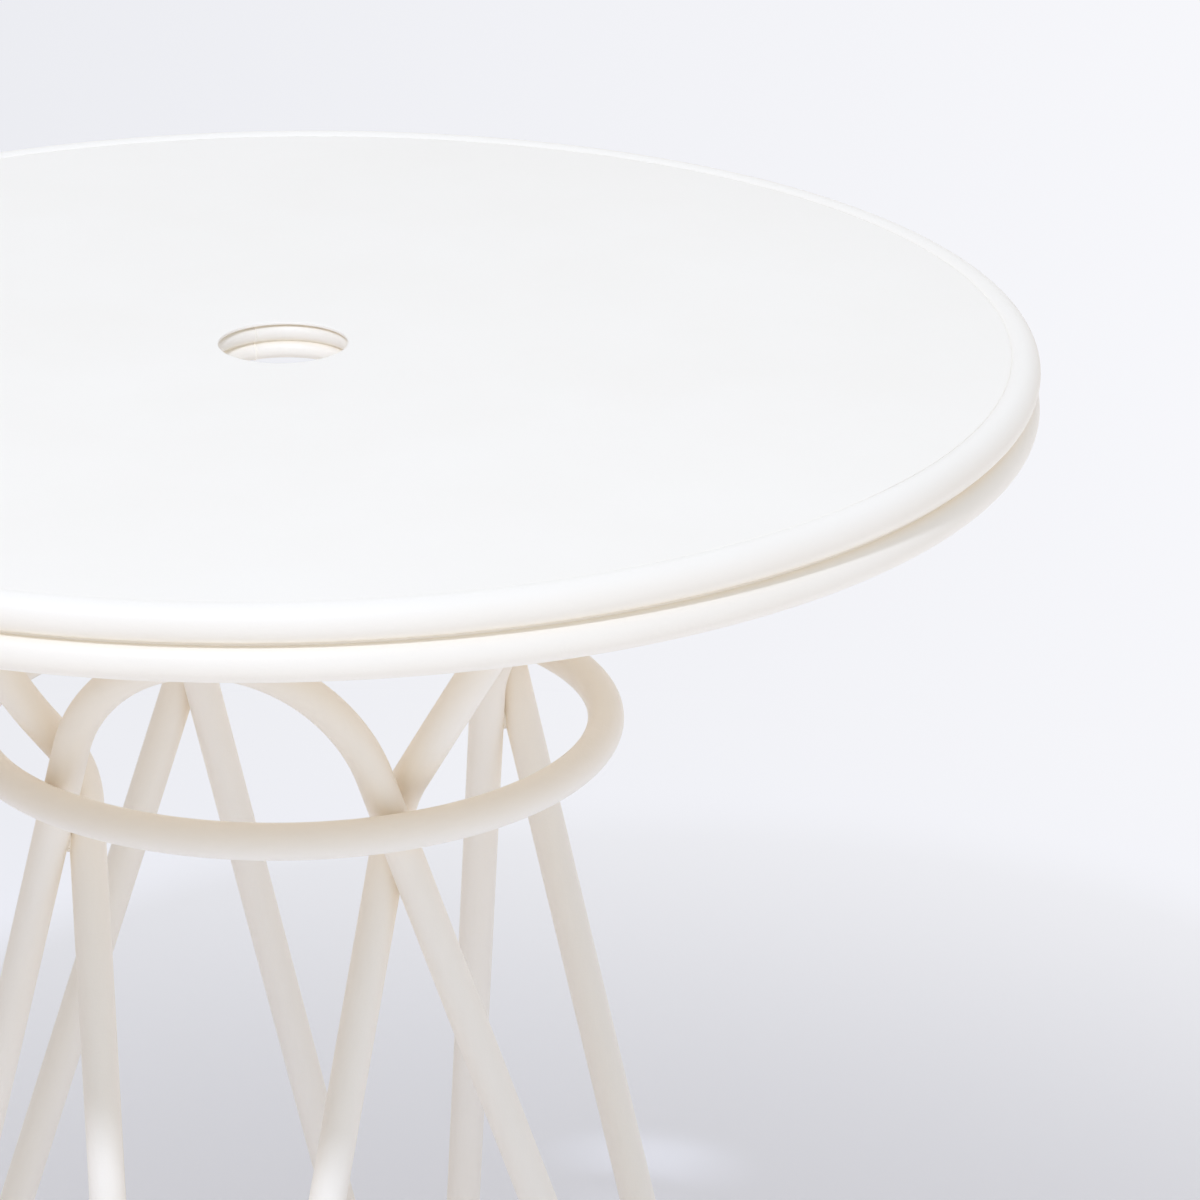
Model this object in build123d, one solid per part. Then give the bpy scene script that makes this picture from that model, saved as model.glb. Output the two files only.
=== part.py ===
from build123d import *
import os
from math import cos, radians, sin, sqrt, tan

# Round tubular-steel cafe table: a sheet top in two rim tubes on a base of four crossing arches.
# Millimetres. The origin is on the floor below the middle of the top, +Z is up, the front is -Y.

# Whole table
TABLE_HEIGHT = 740.0
TOP_DIAMETER = 700.0
TUBE_DIAMETER = 17.2
TUBE_WALL = 1.5
WELD_GAP = 0.2

# Top
PANEL_THICKNESS = 1.2
PANEL_RECESS = 1.4
PARASOL_HOLE_DIAMETER = 60.0
COLLAR_ROD_DIAMETER = 8.5
SPOKE_HEIGHT = 25.0
SPOKE_WIDTH = 15.0
SPOKE_WALL = 1.5
SPOKE_NOSE_LENGTH = 30.0
SPOKE_NOSE_RISE = 9.5

# Base: its turn about the axis, in degrees, then the hoop, which hangs below the table's top, and the feet
BASE_TURN = -16.7
HOOP_DIAMETER = 299.0
HOOP_DROP = 188.5
FOOT_CIRCLE_DIAMETER = 478.0
FOOT_PAIR_GAP = 1.0

# Front and back arches, which pass outside at the crossings
OUTER_LEG_ANGLE = 36.3
OUTER_BEND_RADIUS = 75.0

# Left and right arches, which pass inside at the crossings and open into a loop above the hoop
CROSSING_DROP = 24.0
LOOP_REACH = 163.0
LOOP_SPREAD = 21.5
KNEE_RADIUS = 38.0

# Fixings between the base and the top
PLATE_LENGTH = 76.0
PLATE_WIDTH = 24.0
PLATE_THICKNESS = 4.0
SCREW_SPACING = 54.0
SCREW_DIAMETER = 6.0
SCREW_LENGTH = 16.0
SCREW_HEAD_DIAMETER = 10.5
SCREW_HEAD_HEIGHT = 3.3
SCREW_SOCKET_WIDTH = 4.0
SCREW_SOCKET_DEPTH = 2.0
WASHER_DIAMETER = 12.0
WASHER_THICKNESS = 1.6
RIVET_NUT_DIAMETER = 9.0
RIVET_NUT_LENGTH = 13.0
SCREW_CLEARANCE = 0.2

# Feet
FOOT_HEIGHT = 5.0
PLUG_DEPTH = 20.0
PLUG_CLEARANCE = 0.15

# Worked out from the sizes above
tube_radius = TUBE_DIAMETER / 2
bore_radius = tube_radius - TUBE_WALL
contact = TUBE_DIAMETER + WELD_GAP
rim_radius = TOP_DIAMETER / 2 - tube_radius
upper_rim_z = TABLE_HEIGHT - tube_radius
lower_rim_z = upper_rim_z - contact
panel_top = TABLE_HEIGHT - PANEL_RECESS
panel_under = panel_top - PANEL_THICKNESS
hole_radius = PARASOL_HOLE_DIAMETER / 2
rod_radius = COLLAR_ROD_DIAMETER / 2
collar_radius = hole_radius + rod_radius
upper_collar_z = panel_under - WELD_GAP - rod_radius
lower_collar_z = upper_collar_z - COLLAR_ROD_DIAMETER - WELD_GAP
spoke_start = collar_radius + rod_radius + WELD_GAP
spoke_end = rim_radius - tube_radius - WELD_GAP
spoke_under = panel_under - WELD_GAP - SPOKE_HEIGHT
plate_under = spoke_under - PLATE_THICKNESS
washer_under = plate_under - WASHER_THICKNESS
hoop_radius = HOOP_DIAMETER / 2
hoop_z = TABLE_HEIGHT - HOOP_DROP
foot_offset = (TUBE_DIAMETER + FOOT_PAIR_GAP) / 2
screw_hole_radius = SCREW_DIAMETER / 2 + SCREW_CLEARANCE
nut_hole_radius = RIVET_NUT_DIAMETER / 2 + SCREW_CLEARANCE
floor_slice = Plane.XY.offset(FOOT_HEIGHT)

SIDES = ("front", "right", "back", "left")
STANDING = (Align.CENTER, Align.CENTER, Align.MIN)


def to_side(shape, side):
    """Turns a shape that is made on the front side of the base to one of the four sides."""
    return shape.rotate(Axis.Z, BASE_TURN + 90 * SIDES.index(side))


def point(reach, across, height):
    """A point on the front side: reach goes out from the axis, across goes to the right."""
    return Vector(across, -reach, height)


def mirrored(place):
    """The same point on the left half of an arch."""
    return Vector(-place.X, place.Y, place.Z)


def on_line(start, end, height):
    """The point of a line at a height."""
    return start + (end - start) * ((height - start.Z) / (end.Z - start.Z))


def rounded_corner(before, corner, after, radius):
    """Start, middle and end of the arc that rounds the corner between two runs."""
    back = (before - corner).normalized()
    ahead = (after - corner).normalized()
    half_turn = radians(180 - back.get_angle(ahead)) / 2
    setback = radius * tan(half_turn)
    bulge = radius * (1 / cos(half_turn) - 1)
    middle = corner + (back + ahead).normalized() * bulge
    return corner + back * setback, middle, corner + ahead * setback


def ring(middle_radius, height, outside, inside=0):
    """A round ring of tube, or of solid rod where there is no inside."""
    section = Circle(outside)
    if inside:
        section -= Circle(inside)
    return revolve(Plane.XZ * Pos(middle_radius, height) * section, Axis.Z)


def tube(path, outside, inside=0):
    """A bent tube, or a solid rod where there is no inside, along a wire of runs and arcs."""
    section = Circle(outside)
    if inside:
        section -= Circle(inside)
    return sweep(Plane(origin=path @ 0, z_dir=path % 0) * section, path=path)


def upright(reach, bottom, radius, height):
    """A vertical cylinder on the middle line of the front side."""
    return Pos(0, -reach, bottom) * Cylinder(radius, height, align=STANDING)


# The leg lines, both drawn as a right-hand leg on the front side
outer_foot = point(foot_offset, FOOT_CIRCLE_DIAMETER / 2, 0)
outer_knee_radius = hoop_radius - contact
outer_knee = point(
    outer_knee_radius * cos(radians(OUTER_LEG_ANGLE)),
    outer_knee_radius * sin(radians(OUTER_LEG_ANGLE)),
    hoop_z,
)
inner_foot = outer_foot


def inner_knee():
    """Where an inner leg passes the hoop's height.

    Below the hoop the leg touches the inside of the next arch's outer leg. Seen on this side, that
    leg is the outer leg mirrored in the diagonal between the two sides.
    """
    crossing = on_line(outer_knee, outer_foot, hoop_z - CROSSING_DROP)
    crossing = Vector(-crossing.Y, -crossing.X, crossing.Z)
    outer_run = outer_foot - outer_knee
    outer_run = Vector(-outer_run.Y, -outer_run.X, outer_run.Z)
    inward = Vector(-crossing.X, -crossing.Y, 0).normalized()
    for _ in range(12):
        touch = crossing + inward * contact
        normal = (inner_foot - touch).cross(outer_run).normalized()
        inward = normal if normal.dot(inward) > 0 else -normal
    return on_line(inner_foot, touch, hoop_z)


def below_floor(knee, foot):
    """The leg's end point, a tube's width past the floor, so that the foot can be cut level."""
    return foot + (foot - knee).normalized() * TUBE_DIAMETER


def outer_arch():
    """Path and apex of an outer arch: two straight legs and one bend in a plane that leans out."""
    start = below_floor(outer_knee, outer_foot)
    rise = (outer_knee - outer_foot) * (outer_foot.X / (outer_foot.X - outer_knee.X))
    peak = outer_foot + rise
    bend = rounded_corner(start, peak, mirrored(start), OUTER_BEND_RADIUS)
    runs = [Line(start, bend[0]), ThreePointArc(*bend), Line(bend[2], mirrored(start))]
    return Wire(runs), bend[1]


def inner_arch():
    """Path of an inner arch: straight legs, a knee at the hoop and a round loop that leans out."""
    knee = inner_knee()
    apex = point(LOOP_REACH, 0, plate_under - WELD_GAP - tube_radius)
    rise = apex - Vector(0, knee.Y, knee.Z)
    lean = rise.normalized()
    spread = radians(LOOP_SPREAD)
    loop_radius = (knee.X * cos(spread) + rise.length * sin(spread)) / (1 + sin(spread))
    loop_side = Vector(cos(spread), 0, 0) - lean * sin(spread)
    loop_start = apex + (loop_side - lean) * loop_radius
    start = below_floor(knee, inner_foot)
    bend = rounded_corner(start, knee, loop_start, KNEE_RADIUS)
    left_bend = [mirrored(place) for place in reversed(bend)]
    runs = [
        Line(start, bend[0]),
        ThreePointArc(*bend),
        Line(bend[2], loop_start),
        ThreePointArc(loop_start, apex, mirrored(loop_start)),
        Line(mirrored(loop_start), left_bend[0]),
        ThreePointArc(*left_bend),
        Line(left_bend[2], mirrored(start)),
    ]
    return Wire(runs)


def top_panel():
    """Sheet disc with the parasol hole, its edge bevelled to lie on the shoulder of the rim tube."""

    def edge_radius(height):
        return rim_radius - sqrt(tube_radius**2 - (height - upper_rim_z) ** 2) - WELD_GAP

    outline = Polyline(
        (hole_radius, panel_under),
        (edge_radius(panel_under), panel_under),
        (edge_radius(panel_top), panel_top),
        (hole_radius, panel_top),
        close=True,
    )
    return revolve(Plane.XZ * make_face(outline), Axis.Z)


def spoke(screw_reaches):
    """Box tube on edge from the collar to the rims, its inner end cut slanting so the collar hides it."""
    length = spoke_end - spoke_start
    middle = Pos(0, -(spoke_start + spoke_end) / 2, spoke_under)
    body = middle * Box(SPOKE_WIDTH, length, SPOKE_HEIGHT, align=STANDING)
    inside = Box(SPOKE_WIDTH - 2 * SPOKE_WALL, length, SPOKE_HEIGHT - 2 * SPOKE_WALL, align=STANDING)
    body -= middle * Pos(0, 0, SPOKE_WALL) * inside
    nose = Polyline(
        (-spoke_start, spoke_under),
        (-spoke_start - SPOKE_NOSE_LENGTH, spoke_under),
        (-spoke_start, spoke_under + SPOKE_NOSE_RISE),
        close=True,
    )
    body -= extrude(Plane.YZ * make_face(nose), SPOKE_WIDTH, both=True)
    for reach in screw_reaches:
        body -= upright(reach, spoke_under, nut_hole_radius, SPOKE_WALL)
    return body


def mounting_plate(reach, screw_reaches):
    """Flat plate with round ends and two screw holes, under a spoke."""
    plate = extrude(SlotOverall(PLATE_LENGTH, PLATE_WIDTH, rotation=90), PLATE_THICKNESS)
    plate = Pos(0, -reach, plate_under) * plate
    for hole_reach in screw_reaches:
        plate -= upright(hole_reach, plate_under, screw_hole_radius, PLATE_THICKNESS)
    return plate


def post(reach, apex, path):
    """Short upright tube, cut at its foot to sit on the top of an outer arch."""
    height = plate_under - apex.Z
    body = upright(reach, apex.Z, tube_radius, height) - upright(reach, apex.Z, bore_radius, height)
    return body - tube(path, tube_radius + WELD_GAP)


def screw(reach):
    """Button-head screw with a socket, pushed up through washer and plate into the spoke."""
    head_under = washer_under - SCREW_HEAD_HEIGHT
    head = upright(reach, head_under, SCREW_HEAD_DIAMETER / 2, SCREW_HEAD_HEIGHT)
    head = fillet(head.edges().group_by(Axis.Z)[0], SCREW_HEAD_HEIGHT / 2)
    socket = extrude(RegularPolygon(SCREW_SOCKET_WIDTH / 2, 6, major_radius=False), SCREW_SOCKET_DEPTH)
    head -= Pos(0, -reach, head_under) * socket
    return head + upright(reach, washer_under, SCREW_DIAMETER / 2, SCREW_LENGTH)


def washer(reach):
    body = upright(reach, washer_under, WASHER_DIAMETER / 2, WASHER_THICKNESS)
    return body - upright(reach, washer_under, screw_hole_radius, WASHER_THICKNESS)


def rivet_nut(reach):
    """Flush threaded sleeve that is set in the spoke's lower wall."""
    body = upright(reach, spoke_under, RIVET_NUT_DIAMETER / 2, RIVET_NUT_LENGTH)
    return body - upright(reach, spoke_under, screw_hole_radius, RIVET_NUT_LENGTH)


def foot_plugs(knee, foot):
    """Plastic plugs of the right and left leg of an arch: a level foot and a stub inside the tube."""
    along = (knee - foot).normalized()
    reach = (FOOT_HEIGHT + PLUG_DEPTH + TUBE_DIAMETER) / along.Z
    leg_line = Line(below_floor(knee, foot), foot + along * reach)
    foot_block = split(tube(leg_line, tube_radius), bisect_by=floor_slice, keep=Keep.BOTTOM)
    foot_block = split(foot_block, bisect_by=Plane.XY, keep=Keep.TOP)
    stub = split(tube(leg_line, bore_radius - PLUG_CLEARANCE), bisect_by=floor_slice, keep=Keep.TOP)
    stub = split(stub, bisect_by=floor_slice.offset(PLUG_DEPTH), keep=Keep.BOTTOM)
    right = foot_block + stub
    return right, mirror(right, about=Plane.YZ)


# The assembly, node by node
nodes = {
    "top_panel": top_panel(),
    "upper_rim_tube": ring(rim_radius, upper_rim_z, tube_radius, bore_radius),
    "lower_rim_tube": ring(rim_radius, lower_rim_z, tube_radius, bore_radius),
    "upper_collar_ring": ring(collar_radius, upper_collar_z, rod_radius),
    "lower_collar_ring": ring(collar_radius, lower_collar_z, rod_radius),
    "waist_hoop": ring(hoop_radius, hoop_z, tube_radius, bore_radius),
}
outer_path, outer_apex = outer_arch()
inner_path = inner_arch()
screws = []
washers = []
rivet_nuts = []
for side in SIDES:
    is_outer = side in ("front", "back")
    path = outer_path if is_outer else inner_path
    knee, foot = (outer_knee, outer_foot) if is_outer else (inner_knee(), inner_foot)
    plate_reach = -outer_apex.Y if is_outer else LOOP_REACH
    screw_reaches = (plate_reach - SCREW_SPACING / 2, plate_reach + SCREW_SPACING / 2)

    arch = split(tube(path, tube_radius, bore_radius), bisect_by=floor_slice, keep=Keep.TOP)
    nodes[f"{side}_arch"] = to_side(arch, side)
    nodes[f"{side}_spoke"] = to_side(spoke(screw_reaches), side)
    nodes[f"{side}_mounting_plate"] = to_side(mounting_plate(plate_reach, screw_reaches), side)
    if is_outer:
        nodes[f"{side}_post"] = to_side(post(plate_reach, outer_apex, outer_path), side)
    right_plug, left_plug = foot_plugs(knee, foot)
    nodes[f"{side}_arch_right_foot_plug"] = to_side(right_plug, side)
    nodes[f"{side}_arch_left_foot_plug"] = to_side(left_plug, side)
    for reach in screw_reaches:
        screws.append(to_side(screw(reach), side))
        washers.append(to_side(washer(reach), side))
        rivet_nuts.append(to_side(rivet_nut(reach), side))
nodes["mounting_screws"] = Compound(children=screws)
nodes["mounting_washers"] = Compound(children=washers)
nodes["rivet_nuts"] = Compound(children=rivet_nuts)

os.makedirs("parts", exist_ok=True)
for name, shape in nodes.items():
    export_step(shape, f"parts/{name}.step")
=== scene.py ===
import math

import bmesh
import bpy
from bpy.props import FloatProperty, FloatVectorProperty, IntProperty, PointerProperty
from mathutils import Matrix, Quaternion, Vector


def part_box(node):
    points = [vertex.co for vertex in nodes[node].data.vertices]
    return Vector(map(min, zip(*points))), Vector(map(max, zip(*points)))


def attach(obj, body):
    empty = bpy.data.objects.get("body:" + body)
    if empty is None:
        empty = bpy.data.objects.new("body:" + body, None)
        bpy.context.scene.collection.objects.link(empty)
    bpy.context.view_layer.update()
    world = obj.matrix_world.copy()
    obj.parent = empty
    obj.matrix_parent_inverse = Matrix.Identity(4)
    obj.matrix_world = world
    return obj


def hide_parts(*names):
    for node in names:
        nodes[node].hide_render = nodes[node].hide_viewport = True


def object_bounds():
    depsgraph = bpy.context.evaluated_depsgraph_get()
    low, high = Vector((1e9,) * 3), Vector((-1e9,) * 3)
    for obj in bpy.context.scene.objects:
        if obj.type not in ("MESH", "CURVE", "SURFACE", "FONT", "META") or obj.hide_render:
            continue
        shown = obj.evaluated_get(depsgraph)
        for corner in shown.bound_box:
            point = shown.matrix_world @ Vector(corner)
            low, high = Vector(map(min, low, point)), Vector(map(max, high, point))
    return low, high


bl_info = {
    "name": "Tubular Cafe Table",
    "version": (1, 0, 0),
    "blender": (4, 5, 0),
    "location": "View3D > Sidebar > Cafe Table",
    "description": "Finishes the round tubular-steel cafe table and lights it in a pale studio",
    "category": "Object",
}

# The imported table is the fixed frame. Lengths are in metres, +Z is up and the front is -Y.
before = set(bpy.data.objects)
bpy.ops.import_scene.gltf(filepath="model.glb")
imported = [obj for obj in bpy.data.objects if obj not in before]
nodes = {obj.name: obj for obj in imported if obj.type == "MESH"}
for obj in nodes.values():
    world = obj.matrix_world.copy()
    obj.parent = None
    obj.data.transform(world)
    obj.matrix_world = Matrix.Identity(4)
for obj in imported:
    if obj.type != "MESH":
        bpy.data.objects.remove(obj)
cad_box = [list(corner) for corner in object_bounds()]

SIDES = ("front", "right", "back", "left")
UP = Vector((0, 0, 1))

# Edges between faces that meet at more than this angle stay sharp
SHARP_EDGE = math.radians(38)

# Radii of the weld beads and the spacing of their rings and drops
HOOP_BEAD = 0.0012
CROSSING_BEAD = 0.0022
POST_BEAD = 0.0017
LOOP_BEAD = 0.0018
SPOKE_BEAD = 0.0017
RIM_BEAD = 0.0022
SHEET_BEAD = 0.0014
ROD_BAND = 0.00045
BEAD_STEP = 0.0006
BEAD_PITCH = 0.0018

# Size of the faint clouds in the powder coat
CLOUD_SIZE = 0.09

# Range over which the backdrop goes from its left to its right colour: in the sky, as the X of
# a direction, and on the floor, as the X of a place
SKY_SWEEP = (-0.05, 0.16)
FLOOR_SWEEP = (-0.23, 0.74)


def node_height(node):
    """Height of a node's box."""
    low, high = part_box(node)
    return high.z - low.z


def node_middle(node):
    """Height of the middle of a node's box."""
    low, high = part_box(node)
    return (low.z + high.z) / 2


def ring_radius(node):
    """Radius of the centreline of a round ring."""
    low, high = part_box(node)
    return (high.x - low.x - (high.z - low.z)) / 2


def length(name, description, default):
    """A length setting."""
    return FloatProperty(
        name=name, description=description, default=default, unit="LENGTH", precision=4
    )


def angle(name, description, degrees):
    """An angle setting, with its default in degrees."""
    return FloatProperty(
        name=name, description=description, default=math.radians(degrees), subtype="ANGLE"
    )


def colour(name, description, default):
    """A colour setting."""
    return FloatVectorProperty(
        name=name, description=description, default=default, subtype="COLOR", min=0, max=1
    )


def strength(name, description, default):
    """A light strength setting."""
    return FloatProperty(name=name, description=description, default=default, min=0, max=10)


class CafeTableTubes(bpy.types.PropertyGroup):
    """Sizes of the bent tubes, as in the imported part."""

    tube_diameter: length("Tube diameter", "Outside of all the tubes", node_height("waist_hoop"))
    tube_wall: length("Tube wall", "Wall of the tubes, seen at the leg ends", 0.0015)
    weld_gap: length("Weld gap", "Gap between tubes that are welded together", 0.0002)
    tube_sides: IntProperty(
        name="Tube sides", description="Faces round each tube", default=48, min=12, max=96
    )
    bend_step: angle("Bend step", "Turn of a bend from one ring of faces to the next", 2.5)
    base_turn: angle("Base turn", "Turn of the whole base about the upright axis", -16.7)
    foot_circle: length("Foot circle", "Diameter on which the leg ends stand", 0.478)
    foot_pair_gap: length("Foot pair gap", "Gap between two leg ends that stand together", 0.001)
    foot_height: length("Foot height", "Height of the plastic foot below a leg end", 0.005)
    outer_leg_angle: angle("Outer leg angle", "Place of an outer leg on the hoop", 36.3)
    outer_bend: length("Outer bend", "Bend radius at the top of the front and back arch", 0.075)
    crossing_drop: length("Crossing drop", "How far below the hoop two legs cross", 0.024)
    loop_reach: length("Loop reach", "How far out the left and right loops lean", 0.163)
    loop_spread: angle("Loop spread", "How far the sides of a loop open", 21.5)
    knee_radius: length("Knee radius", "Bend radius of the inner legs at the hoop", 0.038)


class CafeTableFinish(bpy.types.PropertyGroup):
    """Colours and surface of the finishes, with the painted warm shade in creases and under the top."""

    coat_colour: colour("Coat", "Powder coat on all the steel", (0.9, 0.875, 0.82))
    coat_shade: colour("Coat shade", "Faint cloudiness of the powder coat", (0.884, 0.856, 0.796))
    # Painted shade: an ambient occlusion mask lays this warmer tone into creases, standing in for the warm
    # shade there
    painted_crease_shade: colour("Crevice", "Warmer tone of the coat in creases", (0.975, 0.9, 0.77))
    painted_crease_shade_reach: length("Crevice reach", "How far the warmer tone spreads out of a crease", 0.014)
    # Painted shade: an ambient occlusion mask lays this warmer tone on the base where the top shelters it,
    # standing in for the warm light bounced under the top
    painted_shelter_shade: colour("Shelter", "Warmer tone of the coat on the sheltered base", (0.965, 0.865, 0.72))
    painted_shelter_shade_reach: length("Shelter reach", "How far off a surface shelters the base", 0.3)
    coat_roughness: FloatProperty(
        name="Coat roughness", description="Dullness of the powder coat", default=0.46, min=0, max=1
    )
    grain_size: length("Grain size", "Size of the fine grain of the powder coat", 0.0011)
    grain_depth: length("Grain depth", "Height of the fine grain", 0.00007)
    peel_size: length("Peel size", "Size of the soft waves of the powder coat", 0.0035)
    peel_depth: length("Peel depth", "Height of the soft waves", 0.00005)
    zinc_colour: colour("Zinc", "Plated screws and washers", (0.62, 0.62, 0.6))
    foot_colour: colour("Foot plastic", "Plugs in the leg ends", (0.72, 0.715, 0.69))


class CafeTableStage(bpy.types.PropertyGroup):
    """Floor, lamps and camera."""

    floor_colour: colour("Floor", "Pale floor round the table", (0.815, 0.81, 0.846))
    backdrop_left: colour("Backdrop left", "Pale background on the left", (0.838, 0.845, 0.886))
    backdrop_right: colour("Backdrop right", "Pale background on the right", (0.93, 0.933, 0.967))
    side_dip: angle("Side dip", "How far below the horizon the light from the sides comes from", 25.0)
    front_colour: colour("Front colour", "Colour of the soft light from the front", (0.985, 0.985, 1.0))
    front_light: strength("Front light", "Soft light from the front", 1.04)
    right_colour: colour("Right colour", "Colour of the soft light from the right", (0.99, 0.925, 0.935))
    right_light: strength("Right light", "Soft light from the right", 0.89)
    back_colour: colour("Back colour", "Colour of the soft light from behind", (0.985, 0.95, 0.905))
    back_light: strength("Back light", "Soft light from behind", 1.5)
    left_colour: colour("Left colour", "Colour of the soft light from the left", (1.0, 0.76, 0.58))
    left_light: strength("Left light", "Soft light from the left", 0.56)
    top_colour: colour("Top colour", "Colour of the soft light from above", (0.93, 0.96, 1.0))
    top_light: strength("Top light", "Soft light from above", 1.25)
    low_colour: colour("Low colour", "Colour of the soft light from below", (0.9, 0.95, 1.0))
    low_light: strength("Low light", "Soft light from below", 0.97)
    key_colour: colour("Key colour", "Colour of the key lamp", (0.738, 0.81, 0.98))
    key_light: strength("Key light", "Strength of the key lamp, the same at all distances", 5.15)
    key_azimuth: angle("Key azimuth", "Key lamp, counted from the front to the right", -18.6)
    key_elevation: angle("Key elevation", "Key lamp above the horizon, seen from the top", 47.5)
    key_size: length("Key size", "Width of the key lamp", 0.115)
    key_distance: length("Key distance", "Key lamp from the middle of the top", 1.89)
    fade_start: length("Fade start", "Distance at which the floor starts to fade", 0.5)
    fade_end: length("Fade end", "Distance at which the floor is all backdrop", 1.42)
    camera_distance: length("Camera distance", "Camera in front of the table's axis", 2.59819)
    camera_height: length("Camera height", "Camera above the floor", 1.60111)
    camera_yaw: angle("Camera yaw", "Turn of the camera to the right", 3.23532)
    camera_pitch: angle("Camera pitch", "Tilt of the camera below the horizon", 20.89189)
    camera_lens: FloatProperty(
        name="Lens", description="Focal length on a 36 mm sensor", default=177.0886, unit="CAMERA"
    )


def tubes():
    """Settings of the tubes."""
    return bpy.context.scene.cafe_table_tubes


def finish():
    """Settings of the finishes."""
    return bpy.context.scene.cafe_table_finish


def stage():
    """Settings of the floor, lamps and camera."""
    return bpy.context.scene.cafe_table_stage


# Centrelines of the tubes, drawn on the front side of the base and then turned to their own side


def front_point(reach, across, height):
    """A point on the front side: reach goes out from the axis, across goes to the right."""
    return Vector((across, -reach, height))


def mirrored(place):
    """The same point on the left half of an arch."""
    return Vector((-place.x, place.y, place.z))


def to_side(place, side):
    """Turns a point of the front side to one of the four sides."""
    turn = tubes().base_turn + math.radians(90) * SIDES.index(side)
    return Quaternion(UP, turn) @ place


def at_height(start, end, height):
    """The point of a line at a height."""
    return start.lerp(end, (height - start.z) / (end.z - start.z))


def rounded_corner(before, corner, after, radius):
    """Start, middle and end of the arc that rounds the corner between two runs."""
    back = (before - corner).normalized()
    ahead = (after - corner).normalized()
    half_turn = (math.pi - back.angle(ahead)) / 2
    setback = radius * math.tan(half_turn)
    bulge = radius * (1 / math.cos(half_turn) - 1)
    middle = corner + (back + ahead).normalized() * bulge
    return corner + back * setback, middle, corner + ahead * setback


def arc_points(start, middle, end):
    """Points along the arc through three points, one for each bend step."""
    first = middle - start
    second = end - start
    normal = first.cross(second)
    offset = second.length_squared * normal.cross(first) + first.length_squared * second.cross(normal)
    centre = start + offset / (2 * normal.length_squared)
    axis = normal.normalized()
    arm = start - centre
    turn = 2 * math.pi - 2 * (start - middle).angle(end - middle)
    count = max(2, math.ceil(turn / tubes().bend_step))
    return [centre + Quaternion(axis, turn * i / count) @ arm for i in range(count + 1)]


def ring_points(radius, height, count=240):
    """Points of a level ring about the upright axis."""
    turns = [2 * math.pi * i / count for i in range(count)]
    return [Vector((radius * math.cos(t), radius * math.sin(t), height)) for t in turns]


def contact():
    """Distance between the centrelines of two tubes that are welded together."""
    return tubes().tube_diameter + tubes().weld_gap


def hoop_radius():
    """Radius of the hoop's centreline."""
    return ring_radius("waist_hoop")


def hoop_height():
    """Height of the hoop's centreline."""
    return node_middle("waist_hoop")


def leg_foot():
    """Where the right leg of an arch meets the floor."""
    offset = (tubes().tube_diameter + tubes().foot_pair_gap) / 2
    return front_point(offset, tubes().foot_circle / 2, 0)


def outer_knee():
    """Where an outer leg passes inside the hoop."""
    radius = hoop_radius() - contact()
    place = tubes().outer_leg_angle
    return front_point(radius * math.cos(place), radius * math.sin(place), hoop_height())


def leg_crossing():
    """Point on the neighbouring outer leg where an inner leg crosses it, and that leg's direction."""
    crossing = at_height(outer_knee(), leg_foot(), hoop_height() - tubes().crossing_drop)
    run = leg_foot() - outer_knee()
    return Vector((-crossing.y, -crossing.x, crossing.z)), Vector((-run.y, -run.x, run.z))


def inner_touch():
    """Point on an inner leg's centreline where it touches the neighbouring outer leg."""
    crossing, outer_run = leg_crossing()
    inward = Vector((-crossing.x, -crossing.y, 0)).normalized()
    # Each round brings the direction nearer to square with both legs
    for _ in range(12):
        touch = crossing + inward * contact()
        normal = (leg_foot() - touch).cross(outer_run).normalized()
        inward = normal if normal.dot(inward) > 0 else -normal
    return touch


def inner_knee():
    """Where an inner leg bends, at the height of the hoop."""
    return at_height(leg_foot(), inner_touch(), hoop_height())


def outer_route():
    """Centreline of the front arch: two straight legs and one bend."""
    foot = leg_foot()
    rise = (outer_knee() - foot) * (foot.x / (foot.x - outer_knee().x))
    bend = rounded_corner(foot, foot + rise, mirrored(foot), tubes().outer_bend)
    return [foot] + arc_points(*bend) + [mirrored(foot)]


def outer_apex():
    """Top of the front arch's centreline."""
    route = outer_route()
    return route[len(route) // 2]


def loop_apex():
    """Top of a loop's centreline, under its mounting plate."""
    plate_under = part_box("right_mounting_plate")[0].z
    drop = tubes().weld_gap + tubes().tube_diameter / 2
    return front_point(tubes().loop_reach, 0, plate_under - drop)


def inner_route():
    """Centreline of an inner arch, drawn on the front side: legs, knees and a round loop."""
    foot = leg_foot()
    knee = inner_knee()
    apex = loop_apex()
    rise = apex - Vector((0, knee.y, knee.z))
    lean = rise.normalized()
    spread = tubes().loop_spread
    radius = (knee.x * math.cos(spread) + rise.length * math.sin(spread)) / (1 + math.sin(spread))
    side = Vector((math.cos(spread), 0, 0)) - lean * math.sin(spread)
    loop_start = apex + (side - lean) * radius
    bend = rounded_corner(foot, knee, loop_start, tubes().knee_radius)
    half = [foot] + arc_points(*bend)
    loop = arc_points(loop_start, apex, mirrored(loop_start))
    return half + loop + [mirrored(place) for place in reversed(half)]


# Meshes


def cross_frames(centres, closed):
    """Two directions across a line at each of its points, which turn as little as they can."""
    nearly_upright = 0.9
    count = len(centres)
    frames = []
    across = None
    last = None
    for i, here in enumerate(centres):
        before = centres[i - 1] if closed or i else here
        after = centres[(i + 1) % count] if closed or i + 1 < count else here
        ahead = (after - before).normalized()
        if across is None:
            across = ahead.orthogonal().normalized()
            if abs(ahead.z) < nearly_upright:
                across = (UP - ahead * ahead.z).normalized()
        else:
            across = (last.rotation_difference(ahead) @ across).normalized()
        frames.append((across, ahead.cross(across).normalized()))
        last = ahead
    return frames


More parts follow.
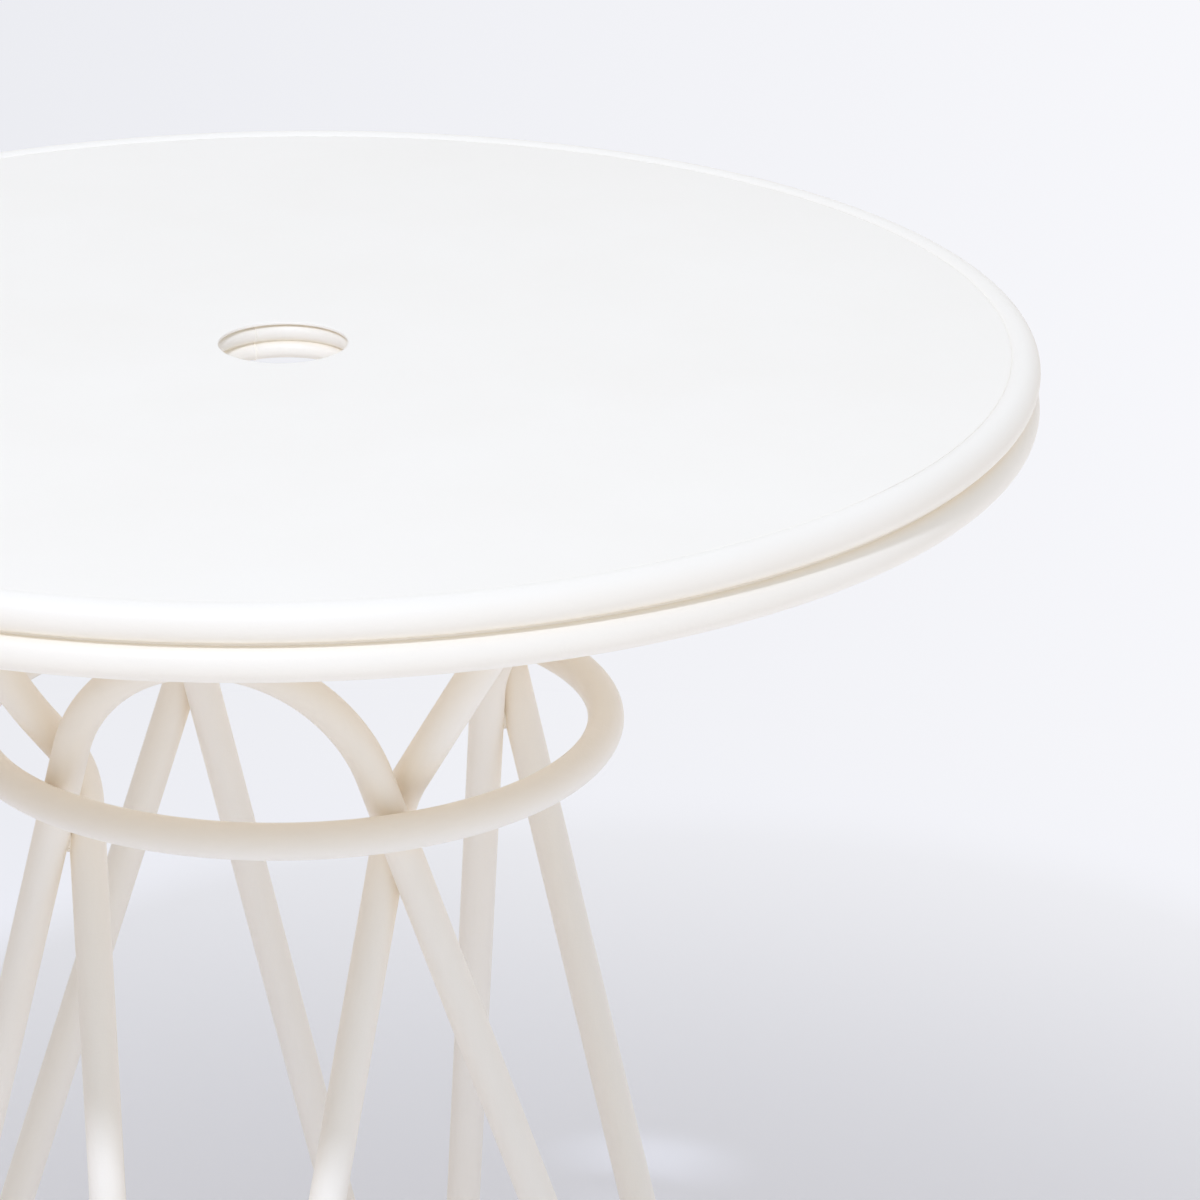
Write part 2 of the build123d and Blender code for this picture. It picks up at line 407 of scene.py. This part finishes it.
def add_skin(mesh, centres, radii, sides, closed=False):
    """Rings of points round a line, joined by faces. Returns the rings."""
    rings = []
    for here, (across, other), radius in zip(centres, cross_frames(centres, closed), radii):
        turns = [2 * math.pi * i / sides for i in range(sides)]
        rings.append(
            [mesh.verts.new(here + (across * math.cos(t) + other * math.sin(t)) * radius) for t in turns]
        )
    pairs = list(zip(rings, rings[1:]))
    if closed:
        pairs.append((rings[-1], rings[0]))
    for near, far in pairs:
        for i in range(sides):
            j = (i + 1) % sides
            mesh.faces.new((near[i], near[j], far[j], far[i]))
    return rings


def close_end(mesh, ring):
    """Rounds off the end of a bead with one point."""
    middle = sum((v.co for v in ring), Vector()) / len(ring)
    tip = mesh.verts.new(middle)
    for i, corner in enumerate(ring):
        mesh.faces.new((corner, ring[(i + 1) % len(ring)], tip))


def level_ring(ring, along, height):
    """Slides the points of a leg's end ring along the leg to one height."""
    for corner in ring:
        corner.co += along * ((height - corner.co.z) / along.z)


def add_leg_tube(mesh, centres):
    """A hollow tube whose two ends are cut level above the floor."""
    outside = tubes().tube_diameter / 2
    skins = []
    for radius in (outside, outside - tubes().tube_wall):
        skins.append(add_skin(mesh, centres, [radius] * len(centres), tubes().tube_sides))
    for end, beside in ((0, 1), (-1, -2)):
        along = (centres[beside] - centres[end]).normalized()
        for rings in skins:
            level_ring(rings[end], along, tubes().foot_height)
        outer, inner = skins[0][end], skins[1][end]
        for i in range(len(outer)):
            j = (i + 1) % len(outer)
            mesh.faces.new((outer[i], outer[j], inner[j], inner[i]))


def revolve_profile(mesh, profile, count=256):
    """A closed outline of (radius, height) points turned about the upright axis."""
    rings = []
    for turn in range(count):
        t = 2 * math.pi * turn / count
        rings.append([mesh.verts.new((r * math.cos(t), r * math.sin(t), z)) for r, z in profile])
    for near, far in zip(rings, rings[1:] + rings[:1]):
        for i in range(len(profile)):
            j = (i + 1) % len(profile)
            mesh.faces.new((near[i], near[j], far[j], far[i]))


def add_object(name, data):
    """Puts a new object into the scene."""
    added = bpy.data.objects.new(name, data)
    bpy.context.scene.collection.objects.link(added)
    return added


def add_piece(name, mesh, material, replaced=()):
    """Makes an object of a mesh, smooth and facing out, that rides with the table."""
    bmesh.ops.recalc_face_normals(mesh, faces=mesh.faces)
    data = bpy.data.meshes.new(name)
    mesh.to_mesh(data)
    mesh.free()
    data.shade_smooth()
    data.set_sharp_from_angle(angle=SHARP_EDGE)
    data.materials.append(material)
    piece = add_object(name, data)
    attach(piece, "root")
    if replaced:
        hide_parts(*replaced)


# Welds


def add_bead(mesh, centres, radius, closed=False, sides=8):
    """A weld bead along a line, rippled like a row of overlapping drops, with low ends."""
    wander = 0.4
    wander_rate = 900
    end_share = 0.45
    end_rise = 0.2
    valley = 0.86
    crest = 0.2
    radii = []
    run = 0
    for i, here in enumerate(centres):
        run += (here - centres[i - 1]).length if i else 0
        drift = wander * math.sin(run * wander_rate)
        ripple = abs(math.sin(math.pi * run / BEAD_PITCH + drift))
        to_end = min(i, len(centres) - 1 - i)
        taper = 1 if closed else min(1, end_share + end_rise * to_end)
        radii.append(radius * taper * (valley + crest * ripple))
    rings = add_skin(mesh, centres, radii, sides, closed)
    if not closed:
        close_end(mesh, rings[0])
        close_end(mesh, rings[-1])


def straight_line(start, end):
    """Points along a straight line."""
    count = max(2, math.ceil((end - start).length / BEAD_STEP))
    return [start.lerp(end, i / count) for i in range(count + 1)]


def oval_line(centre, long_way, wide_way, start, end, step=BEAD_STEP):
    """Points along part of an oval, between two angles."""
    reach = max(long_way.length, wide_way.length)
    count = max(6, math.ceil(abs(end - start) * reach / step))
    turns = [start + (end - start) * i / count for i in range(count + 1)]
    return [centre + long_way * math.cos(t) + wide_way * math.sin(t) for t in turns]


def circle_line(centre, long_way, wide_way, step=BEAD_STEP):
    """Points all the way round a circle, without the first one again at the end."""
    return oval_line(centre, long_way, wide_way, 0, 2 * math.pi, step)[:-1]


def level_circle(centre, radius, step=BEAD_STEP):
    """Points all the way round a level circle."""
    return circle_line(centre, Vector((radius, 0, 0)), Vector((0, radius, 0)), step)


def ring_stretch(radius, height, azimuth, run):
    """Points along a short stretch of a ring about the upright axis."""
    half = run / radius / 2
    across = Vector((radius, 0, 0))
    along = Vector((0, radius, 0))
    return oval_line(UP * height, across, along, azimuth - half, azimuth + half)


def hoop_welds(mesh):
    """Beads under the hoop where the outer legs touch it on the inside."""
    radius = hoop_radius() - contact() / 2
    reach = 0.005
    start = math.radians(12)
    for side in ("front", "back"):
        for hand in (1, -1):
            knee = outer_knee()
            knee.x *= hand
            outward = Vector((knee.x, knee.y, 0)).normalized()
            spot = to_side(UP * hoop_height() + outward * radius, side)
            level = to_side(UP.cross(outward), side)
            line = oval_line(spot, level * reach, -UP * reach, start, math.pi - start)
            add_bead(mesh, line, HOOP_BEAD)


def crossing_welds(mesh):
    """Beads that fill the narrow lower side of the places where two legs cross."""
    crossing, outer_run = leg_crossing()
    touch = inner_touch()
    inner_run = (leg_foot() - touch).normalized()
    down = (inner_run + outer_run.normalized()).normalized()
    spot = (crossing + touch) / 2
    near = 0.002
    far = 0.0115
    right_half = straight_line(spot + down * near, spot + down * far)
    left_half = [mirrored(place) for place in right_half]
    for side in ("right", "left"):
        for line in (right_half, left_half):
            add_bead(mesh, [to_side(place, side) for place in line], CROSSING_BEAD)


def post_welds(mesh):
    """Beads round the two ends of each post."""
    tube = tubes().tube_diameter / 2
    sunk = 0.0006
    raised = 0.0004
    radius = tube + sunk
    bend = tubes().outer_bend + radius
    apex = outer_apex()
    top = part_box("front_mounting_plate")[0].z
    for side in ("front", "back"):
        centre = to_side(Vector((0, apex.y, top - raised)), side)
        add_bead(mesh, level_circle(centre, radius), POST_BEAD, closed=True)
        saddle = []
        for place in level_circle(Vector(), radius):
            rise = math.sqrt(tube**2 - min(abs(place.y), tube - sunk) ** 2)
            fall = bend - math.sqrt(bend**2 - place.x**2)
            saddle.append(to_side(apex + place + UP * (rise - fall + raised), side))
        add_bead(mesh, saddle, POST_BEAD, closed=True)


def loop_welds(mesh):
    """Beads along both sides of a loop's top, under its mounting plate."""
    across = Vector((tubes().tube_diameter * 0.6, 0, 0))
    beside = 0.0046
    sunk = 0.0015
    apex = loop_apex()
    for side in ("right", "left"):
        for offset in (-beside, beside):
            spot = apex + Vector((0, offset, tubes().tube_diameter / 2 - sunk))
            line = straight_line(to_side(spot - across, side), to_side(spot + across, side))
            add_bead(mesh, line, LOOP_BEAD)


def spoke_welds(mesh):
    """Upright beads at the corners of each spoke, on the rims and on the collar."""
    off_collar = 0.0004
    off_rim = 0.0006
    off_bottom = 0.002
    off_top = 0.003
    corner = 0.0077
    low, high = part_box("front_spoke")
    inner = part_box("upper_collar_ring")[1].x + off_collar
    outer = ring_radius("upper_rim_tube") - tubes().tube_diameter / 2 - off_rim
    collar_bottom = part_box("lower_collar_ring")[0].z
    starts = ((inner, collar_bottom + off_bottom), (outer, low.z + off_bottom))
    top = high.z - off_top
    for side in SIDES:
        for across in (-corner, corner):
            for reach, start in starts:
                foot = to_side(front_point(reach, across, start), side)
                head = to_side(front_point(reach, across, top), side)
                add_bead(mesh, straight_line(foot, head), SPOKE_BEAD)


def groove_height(ring):
    """Height of the groove between the upper and the lower ring of a pair."""
    return (node_middle(f"upper_{ring}") + node_middle(f"lower_{ring}")) / 2


def stitch_welds(mesh):
    """Short beads along the inside of the rims, below the sheet and round the collar."""
    tube = tubes().tube_diameter / 2
    rim = ring_radius("upper_rim_tube")
    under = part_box("top_panel")[0].z
    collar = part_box("upper_collar_ring")[1]
    inset = 0.0012
    sunk = 0.0008
    rim_run = 0.028
    sheet_run = 0.022
    collar_run = 0.012
    inside = rim - tube * 0.6
    seat = rim - math.sqrt(tube**2 - (under - node_middle("upper_rim_tube")) ** 2) - inset
    groove = groove_height("rim_tube")
    turn = tubes().base_turn
    for i in range(12):
        rim_place = turn + math.radians(30 * i + 15)
        add_bead(mesh, ring_stretch(inside, groove, rim_place, rim_run), RIM_BEAD)
        sheet_place = turn + math.radians(30 * i + 11)
        add_bead(mesh, ring_stretch(seat, under - sunk, sheet_place, sheet_run), SHEET_BEAD)
    for i in range(4):
        collar_place = turn + math.radians(90 * i + 45)
        line = ring_stretch(collar.x - inset, collar.z - sunk, collar_place, collar_run)
        add_bead(mesh, line, SHEET_BEAD)


def groove_fillets(mesh):
    """Smooth fill in the groove between the rims, outside, and between the collar rods, inside."""
    for ring, shift, thickness in (("rim_tube", 0.0012, 0.0016), ("collar_ring", -0.0006, 0.0008)):
        radius = ring_radius(f"upper_{ring}") + shift
        line = level_circle(UP * groove_height(ring), radius, radius / 60)
        add_skin(mesh, line, [thickness] * len(line), sides=10, closed=True)


def butt_welds(mesh):
    """Low bands where the two ends of each collar rod are joined, inside the parasol hole."""
    azimuth = math.radians(114)
    sunk = 0.0001
    step = 0.0004
    outward = Vector((math.cos(azimuth), math.sin(azimuth), 0))
    for node in ("upper_collar_ring", "lower_collar_ring"):
        centre = outward * ring_radius(node) + UP * node_middle(node)
        radius = node_height(node) / 2 - sunk
        line = circle_line(centre, outward * radius, UP * radius, step)
        add_bead(mesh, line, ROD_BAND, closed=True)


# Materials


class Nodes:
    """Shorthand for a node tree."""

    def __init__(self, tree):
        self.tree = tree

    def add(self, kind, **settings):
        """A new node with its settings and the values of its inputs."""
        node = self.tree.nodes.new(kind)
        for key, value in settings.items():
            if hasattr(node, key):
                setattr(node, key, value)
            else:
                node.inputs[key.replace("_", " ")].default_value = value
        return node

    def link(self, source, target):
        """Links an output to an input."""
        self.tree.links.new(source, target)

    def noise(self, size, detail=2.0, roughness=0.5):
        """Noise whose waves have a real size, in the table's own frame."""
        place = self.add("ShaderNodeTexCoord")
        texture = self.add("ShaderNodeTexNoise", Scale=1 / size, Detail=detail, Roughness=roughness)
        self.link(place.outputs["Object"], texture.inputs["Vector"])
        return texture.outputs["Fac"]

    def spread(self, value, low, high):
        """A value from 0 to 1 carried over to the range from low to high."""
        spread = self.add("ShaderNodeMapRange", To_Min=low, To_Max=high)
        self.link(value, spread.inputs["Value"])
        return spread.outputs["Result"]

    def mix(self, value, low, high):
        """A colour between two colours, or between a colour and a linked one."""
        mixed = self.add("ShaderNodeMix", data_type="RGBA")
        # The node's sockets for colours are found by number, since its other kinds share their names
        share, first, second = mixed.inputs[0], mixed.inputs[6], mixed.inputs[7]
        first.default_value = (*low, 1)
        if isinstance(high, bpy.types.NodeSocket):
            self.link(high, second)
        else:
            second.default_value = (*high, 1)
        self.link(value, share)
        return mixed.outputs[2]

    def fade(self, value, start, end):
        """Smooth rise from 0 to 1 between two values."""
        fade = self.add("ShaderNodeMapRange", From_Min=start, From_Max=end)
        fade.interpolation_type = "SMOOTHSTEP"
        self.link(value, fade.inputs["Value"])
        return fade.outputs["Result"]

    def blend(self, value, low, high):
        """A shader between two shaders."""
        blend = self.add("ShaderNodeMixShader")
        self.link(value, blend.inputs[0])
        self.link(low, blend.inputs[1])
        self.link(high, blend.inputs[2])
        return blend.outputs["Shader"]

    def bump(self, height, depth, under=None):
        """Bump of a real depth, on top of another bump."""
        bump = self.add("ShaderNodeBump", Distance=depth)
        self.link(height, bump.inputs["Height"])
        if under:
            self.link(under, bump.inputs["Normal"])
        return bump.outputs["Normal"]


class MaterialNodes(Nodes):
    """Shorthand for the node tree of a new material."""

    def __init__(self, name):
        self.material = bpy.data.materials.new(name)
        self.material.use_nodes = True
        super().__init__(self.material.node_tree)
        self.shader = self.tree.nodes["Principled BSDF"]


def powder_coat(name, painted_shade_colour, reach):
    """White powder coat: soft waves under fine grain, a little cloudy, with painted warm shade where an
    ambient occlusion mask finds shelter.
    """
    found = bpy.data.materials.get(name)
    if found:
        return found
    made = MaterialNodes(name)
    cloud = made.spread(made.noise(CLOUD_SIZE, detail=3.0), low=-0.6, high=1.6)
    tone = made.mix(cloud, finish().coat_shade, finish().coat_colour)
    # Painted shade: the ambient occlusion mask blends the warm shade colour into creases and sheltered
    # places
    shelter = made.add("ShaderNodeAmbientOcclusion", samples=8, Distance=reach)
    tone = made.mix(shelter.outputs["AO"], painted_shade_colour, tone)
    made.link(tone, made.shader.inputs["Base Color"])
    waves = made.noise(finish().peel_size, detail=1.0)
    grain = made.noise(finish().grain_size, detail=2.5, roughness=0.6)
    rough = finish().coat_roughness
    uneven = 0.06
    made.link(made.spread(grain, rough - uneven, rough + uneven), made.shader.inputs["Roughness"])
    soft = made.bump(waves, finish().peel_depth)
    made.link(made.bump(grain, finish().grain_depth, soft), made.shader.inputs["Normal"])
    return made.material


def top_coat():
    """Coat of the top, the rims and the collar, with painted warm shade in its creases."""
    return powder_coat("powder_coat_top_crease_shade", finish().painted_crease_shade, finish().painted_crease_shade_reach)


def base_coat():
    """Coat of the base, with painted warm shade where the top shelters it."""
    return powder_coat("powder_coat_base_shelter_shade", finish().painted_shelter_shade, finish().painted_shelter_shade_reach)


def zinc_steel():
    """Plated fixings, a little cloudy and finely grained."""
    found = bpy.data.materials.get("zinc_plate")
    if found:
        return found
    made = MaterialNodes("zinc_plate")
    made.shader.inputs["Metallic"].default_value = 1
    cloud = made.noise(size=0.004, detail=4.0)
    bright = Vector(finish().zinc_colour)
    dull = bright * 0.82
    made.link(made.mix(cloud, dull, bright), made.shader.inputs["Base Color"])
    rough = made.spread(made.noise(size=0.0012), low=0.24, high=0.44)
    made.link(rough, made.shader.inputs["Roughness"])
    made.link(made.bump(made.noise(size=0.0006), depth=0.00002), made.shader.inputs["Normal"])
    return made.material


def foot_plastic():
    """Moulded plastic of the foot plugs, scuffed a little darker in places."""
    found = bpy.data.materials.get("foot_plug_plastic")
    if found:
        return found
    made = MaterialNodes("foot_plug_plastic")
    pale = Vector(finish().foot_colour)
    worn = pale * 0.86
    scuff = made.spread(made.noise(size=0.002, detail=5.0, roughness=0.7), low=-0.4, high=1.3)
    made.link(made.mix(scuff, worn, pale), made.shader.inputs["Base Color"])
    rough = made.spread(made.noise(size=0.0015), low=0.5, high=0.68)
    made.link(rough, made.shader.inputs["Roughness"])
    made.link(made.bump(made.noise(size=0.0005), depth=0.00003), made.shader.inputs["Normal"])
    return made.material


def dress_node(node, material):
    """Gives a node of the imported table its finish."""
    data = nodes[node].data
    data.materials.clear()
    data.materials.append(material)


# Operators, one for each group of pieces


class CAFETABLE_OT_top_panel(bpy.types.Operator):
    """Build the sheet top with its parasol hole"""

    bl_idname = "cafe_table.top_panel"
    bl_label = "Top Panel"

    def execute(self, context):
        low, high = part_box("top_panel")
        hole = ring_radius("upper_collar_ring") - node_height("upper_collar_ring") / 2
        lip = 0.0004
        bevel_width = 0.0002
        bevel_height = 0.0001
        edge = high.x
        rim = ring_radius("upper_rim_tube")
        tube = tubes().tube_diameter / 2
        drop = low.z - node_middle("upper_rim_tube")
        under_edge = rim - math.sqrt(tube**2 - drop**2) - tubes().weld_gap
        turns = (0, 0.5, 1.05, 1.57)
        rounding = [(hole + lip * (1 - math.cos(t)), high.z - lip * (1 - math.sin(t))) for t in turns]
        shares = (0.01, 0.05, 0.2, 0.4, 0.6, 0.8, 0.95, 0.995)
        spans = [hole + (edge - hole) * share for share in shares]
        profile = [(hole, low.z)] + rounding + [(r, high.z) for r in spans]
        profile += [(edge - bevel_width, high.z), (edge, high.z - bevel_height), (under_edge, low.z)]
        profile += [(r, low.z) for r in reversed(spans) if r < under_edge]
        mesh = bmesh.new()
        revolve_profile(mesh, profile)
        add_piece("sheet_top", mesh, top_coat(), ["top_panel"])
        return {"FINISHED"}


class CAFETABLE_OT_rings(bpy.types.Operator):
    """Build the two rim tubes, the hoop and the two collar rods"""

    bl_idname = "cafe_table.rings"
    bl_label = "Rims, Hoop and Collar"

    RINGS = {
        "rim_upper": "upper_rim_tube",
        "rim_lower": "lower_rim_tube",
        "hoop": "waist_hoop",
        "collar_upper": "upper_collar_ring",
        "collar_lower": "lower_collar_ring",
    }

    def execute(self, context):
        for name, node in self.RINGS.items():
            mesh = bmesh.new()
            centres = ring_points(ring_radius(node), node_middle(node))
            radius = node_height(node) / 2
            add_skin(mesh, centres, [radius] * len(centres), tubes().tube_sides, closed=True)
            coat = base_coat() if name == "hoop" else top_coat()
            add_piece(name, mesh, coat, [node])
        return {"FINISHED"}


class CAFETABLE_OT_arches(bpy.types.Operator):
    """Build the four arches from their centrelines"""

    bl_idname = "cafe_table.arches"
    bl_label = "Arches"

    def execute(self, context):
        for side in SIDES:
            route = outer_route() if side in ("front", "back") else inner_route()
            mesh = bmesh.new()
            add_leg_tube(mesh, [to_side(place, side) for place in route])
            add_piece(f"arch_{side}", mesh, base_coat(), [f"{side}_arch"])
        return {"FINISHED"}


class CAFETABLE_OT_supports(bpy.types.Operator):
    """Coat the spokes, posts and mounting plates under the top"""

    bl_idname = "cafe_table.supports"
    bl_label = "Spokes, Posts and Plates"

    def execute(self, context):
        for side in SIDES:
            dress_node(f"{side}_spoke", top_coat())
            dress_node(f"{side}_mounting_plate", base_coat())
        for side in ("front", "back"):
            dress_node(f"{side}_post", base_coat())
        return {"FINISHED"}


class CAFETABLE_OT_welds(bpy.types.Operator):
    """Lay the weld beads between tubes, sheet, spokes and plates, and fill the grooves"""

    bl_idname = "cafe_table.welds"
    bl_label = "Welds"

    GROUPS = {
        "welds_hoop": hoop_welds,
        "welds_crossings": crossing_welds,
        "welds_posts": post_welds,
        "welds_loops": loop_welds,
        "welds_spokes": spoke_welds,
        "welds_stitches": stitch_welds,
        "welds_grooves": groove_fillets,
        "welds_collar": butt_welds,
    }

    def execute(self, context):
        for name, lay in self.GROUPS.items():
            mesh = bmesh.new()
            lay(mesh)
            add_piece(name, mesh, top_coat())
        return {"FINISHED"}


class CAFETABLE_OT_fixings(bpy.types.Operator):
    """Plate the screws, washers and rivet nuts"""

    bl_idname = "cafe_table.fixings"
    bl_label = "Screws and Washers"

    def execute(self, context):
        for node in ("mounting_screws", "mounting_washers", "rivet_nuts"):
            dress_node(node, zinc_steel())
        return {"FINISHED"}


class CAFETABLE_OT_feet(bpy.types.Operator):
    """Give the foot plugs their plastic"""

    bl_idname = "cafe_table.feet"
    bl_label = "Foot Plugs"

    def execute(self, context):
        for side in SIDES:
            for hand in ("right", "left"):
                dress_node(f"{side}_arch_{hand}_foot_plug", foot_plastic())
        return {"FINISHED"}


class CAFETABLE_OT_stage(bpy.types.Operator):
    """Set up the floor, the soft light, the key lamp and the camera"""

    bl_idname = "cafe_table.stage"
    bl_label = "Stage"

    def execute(self, context):
        context.scene.view_settings.view_transform = "Standard"
        self.add_floor()
        self.add_world()
        self.add_key_lamp()
        self.add_camera()
        return {"FINISHED"}

    def add_floor(self):
        """Pale floor that holds the shadow and fades into the backdrop round the table."""
        reach = stage().fade_end * 2
        mesh = bmesh.new()
        bmesh.ops.create_circle(mesh, cap_ends=True, segments=128, radius=reach)
        data = bpy.data.meshes.new("floor")
        mesh.to_mesh(data)
        mesh.free()
        made = MaterialNodes("floor_paper")
        made.shader.inputs["Base Color"].default_value = (*stage().floor_colour, 1)
        made.shader.inputs["Roughness"].default_value = 0.9
        made.shader.inputs["Specular IOR Level"].default_value = 0.1
        place = made.add("ShaderNodeTexCoord").outputs["Object"]
        distance = made.add("ShaderNodeVectorMath", operation="LENGTH")
        made.link(place, distance.inputs[0])
        glow = made.add("ShaderNodeEmission")
        made.link(self.backdrop_sweep(made, place, *FLOOR_SWEEP), glow.inputs["Color"])
        clear = made.add("ShaderNodeBsdfTransparent").outputs["BSDF"]
        far = made.blend(self.seen_rays(made), clear, glow.outputs["Emission"])
        fade = made.fade(distance.outputs["Value"], stage().fade_start, stage().fade_end)
        paper = made.blend(fade, made.shader.outputs["BSDF"], far)
        edge = made.fade(distance.outputs["Value"], stage().fade_end, reach)
        whole = made.blend(edge, paper, clear)
        made.link(whole, made.tree.nodes["Material Output"].inputs["Surface"])
        data.materials.append(made.material)
        floor = add_object("floor", data)

    def backdrop_sweep(self, made, place, left, right):
        """Colours of the backdrop from left to right, over a range of a coordinate."""
        parts = made.add("ShaderNodeSeparateXYZ")
        made.link(place, parts.inputs["Vector"])
        across = made.add("ShaderNodeMapRange", From_Min=left, From_Max=right)
        made.link(parts.outputs["X"], across.inputs["Value"])
        sweep = made.add("ShaderNodeValToRGB")
        sweep.color_ramp.elements[0].color = (*stage().backdrop_left, 1)
        sweep.color_ramp.elements[1].color = (*stage().backdrop_right, 1)
        made.link(across.outputs["Result"], sweep.inputs["Fac"])
        return sweep.outputs["Color"]

    def seen_rays(self, made):
        """1 for what is seen directly or in a reflection, 0 for light on the table."""
        path = made.add("ShaderNodeLightPath")
        rays = path.outputs["Is Camera Ray"]
        for kind in ("Is Glossy Ray", "Is Transmission Ray"):
            either = made.add("ShaderNodeMath", operation="MAXIMUM")
            made.link(rays, either.inputs[0])
            made.link(path.outputs[kind], either.inputs[1])
            rays = either.outputs["Value"]
        return rays

    def add_world(self):
        """Soft light that differs from side to side, and the backdrop that is seen and mirrored."""
        level = math.cos(stage().side_dip)
        down = -math.sin(stage().side_dip)
        lights = (
            ((0, -level, down), stage().front_colour, stage().front_light),
            ((level, 0, down), stage().right_colour, stage().right_light),
            ((0, level, down), stage().back_colour, stage().back_light),
            ((-level, 0, down), stage().left_colour, stage().left_light),
            ((0, 0, 1), stage().top_colour, stage().top_light),
            ((0, 0, -1), stage().low_colour, stage().low_light),
        )
        world = bpy.data.worlds.new("studio")
        bpy.context.scene.world = world
        world.use_nodes = True
        made = Nodes(world.node_tree)
        place = made.add("ShaderNodeTexCoord").outputs["Generated"]
        total = None
        for direction, hue, power in lights:
            facing = made.add("ShaderNodeVectorMath", operation="DOT_PRODUCT")
            facing.inputs[1].default_value = direction
            made.link(place, facing.inputs[0])
            share = made.add("ShaderNodeMath", operation="MAXIMUM")
            share.inputs[1].default_value = 0
            made.link(facing.outputs["Value"], share.inputs[0])
            square = made.add("ShaderNodeMath", operation="MULTIPLY")
            made.link(share.outputs["Value"], square.inputs[0])
            made.link(share.outputs["Value"], square.inputs[1])
            lobe = made.add("ShaderNodeVectorMath", operation="MULTIPLY_ADD")
            lobe.inputs[1].default_value = Vector(hue) * power
            made.link(square.outputs["Value"], lobe.inputs[0])
            if total:
                made.link(total, lobe.inputs[2])
            total = lobe.outputs["Vector"]
        light = made.tree.nodes["Background"]
        made.link(total, light.inputs["Color"])
        seen = made.add("ShaderNodeBackground")
        made.link(self.backdrop_sweep(made, place, *SKY_SWEEP), seen.inputs["Color"])
        whole = made.blend(
            self.seen_rays(made), light.outputs["Background"], seen.outputs["Background"]
        )
        made.link(whole, made.tree.nodes["World Output"].inputs["Surface"])

    def add_key_lamp(self):
        """Small soft lamp from the front left, high up."""
        lamp = bpy.data.lights.new("key_lamp", "AREA")
        lamp.shape = "DISK"
        lamp.size = stage().key_size
        lamp.energy = 1
        lamp.color = stage().key_colour
        lamp.use_nodes = True
        made = Nodes(lamp.node_tree)
        even = made.add("ShaderNodeLightFalloff", Strength=stage().key_light)
        made.link(even.outputs["Constant"], made.tree.nodes["Emission"].inputs["Strength"])
        holder = add_object("key_lamp", lamp)
        level = math.cos(stage().key_elevation)
        towards = Vector(
            (
                math.sin(stage().key_azimuth) * level,
                -math.cos(stage().key_azimuth) * level,
                math.sin(stage().key_elevation),
            )
        )
        holder.location = UP * cad_box[1][2] + towards * stage().key_distance
        holder.rotation_euler = towards.to_track_quat("Z", "Y").to_euler()

    def add_camera(self):
        """Camera at the photograph's viewpoint."""
        data = bpy.data.cameras.new("camera")
        data.lens = stage().camera_lens
        data.sensor_width = 36
        data.sensor_fit = "HORIZONTAL"
        data.clip_end = 50
        camera = add_object("camera", data)
        camera.location = (0, -stage().camera_distance, stage().camera_height)
        camera.rotation_euler = (math.pi / 2 - stage().camera_pitch, 0, -stage().camera_yaw)
        bpy.context.scene.camera = camera


OPERATORS = (
    CAFETABLE_OT_top_panel,
    CAFETABLE_OT_rings,
    CAFETABLE_OT_arches,
    CAFETABLE_OT_supports,
    CAFETABLE_OT_welds,
    CAFETABLE_OT_fixings,
    CAFETABLE_OT_feet,
    CAFETABLE_OT_stage,
)


class CAFETABLE_PT_sidebar(bpy.types.Panel):
    """Lists the steps and settings of the cafe table"""

    bl_idname = "CAFETABLE_PT_sidebar"
    bl_label = "Cafe Table"
    bl_space_type = "VIEW_3D"
    bl_region_type = "UI"
    bl_category = "Cafe Table"

    def draw(self, context):
        for operator in OPERATORS:
            self.layout.operator(operator.bl_idname)
        for group in (tubes(), finish(), stage()):
            box = self.layout.box()
            for key in group.__annotations__:
                box.prop(group, key)


SETTINGS = {
    "cafe_table_tubes": CafeTableTubes,
    "cafe_table_finish": CafeTableFinish,
    "cafe_table_stage": CafeTableStage,
}


def register():
    """Registers the settings, the operators and the panel."""
    for name, group in SETTINGS.items():
        bpy.utils.register_class(group)
        setattr(bpy.types.Scene, name, PointerProperty(type=group))
    for operator in OPERATORS:
        bpy.utils.register_class(operator)
    bpy.utils.register_class(CAFETABLE_PT_sidebar)


def unregister():
    """Takes out what register put in."""
    bpy.utils.unregister_class(CAFETABLE_PT_sidebar)
    for operator in reversed(OPERATORS):
        bpy.utils.unregister_class(operator)
    for name, group in SETTINGS.items():
        delattr(bpy.types.Scene, name)
        bpy.utils.unregister_class(group)


def main():
    """Builds the table step by step."""
    register()
    for operator in OPERATORS:
        group, step = operator.bl_idname.split(".")
        getattr(getattr(bpy.ops, group), step)()


if __name__ == "__main__":
    main()
